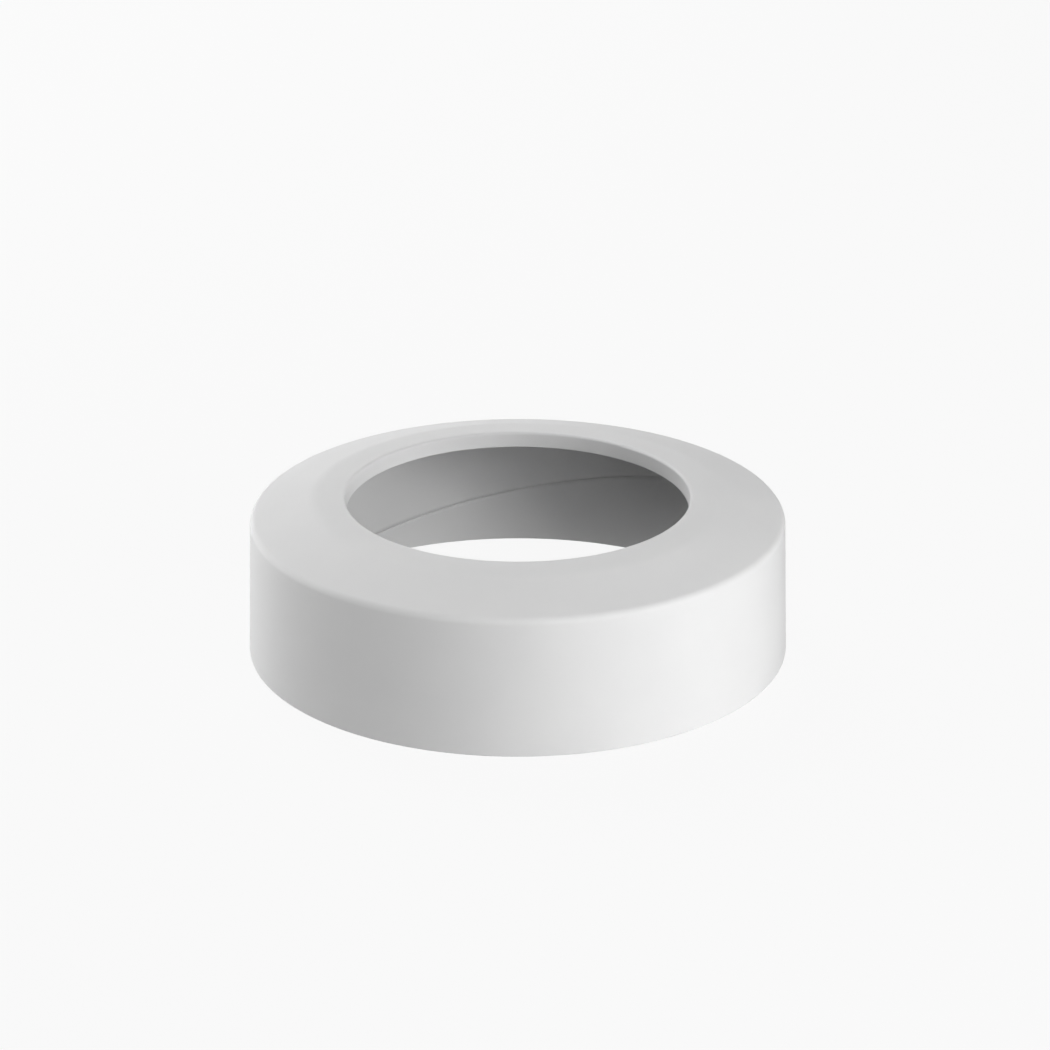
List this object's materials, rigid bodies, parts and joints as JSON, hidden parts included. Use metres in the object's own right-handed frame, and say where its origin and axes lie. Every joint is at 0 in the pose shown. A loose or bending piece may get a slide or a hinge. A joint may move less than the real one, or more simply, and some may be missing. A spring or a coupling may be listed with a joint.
{
  "type": "toilet pipe rosette",
  "caption": "Round hollow plastic cover plate with a drafted skirt, shallow conical top and a round hole with a short inner collar, slipped over a toilet soil pipe to hide its wall opening.",
  "frame": {"origin": "centre of the rim's plane, on the pipe axis, where the rosette meets the wall or floor", "axes": "+Z along the pipe axis, away from the wall or floor; X and Y in the rim's plane, free to turn about Z"},
  "size_m": [0.1752, 0.1752, 0.0513],
  "materials": {
    "moulded_plastic": "matt white, finely grained moulded surface"
  },
  "bodies": {
    "root": {"pipe_rosette": "moulded_plastic"}
  },
  "joints": []
}
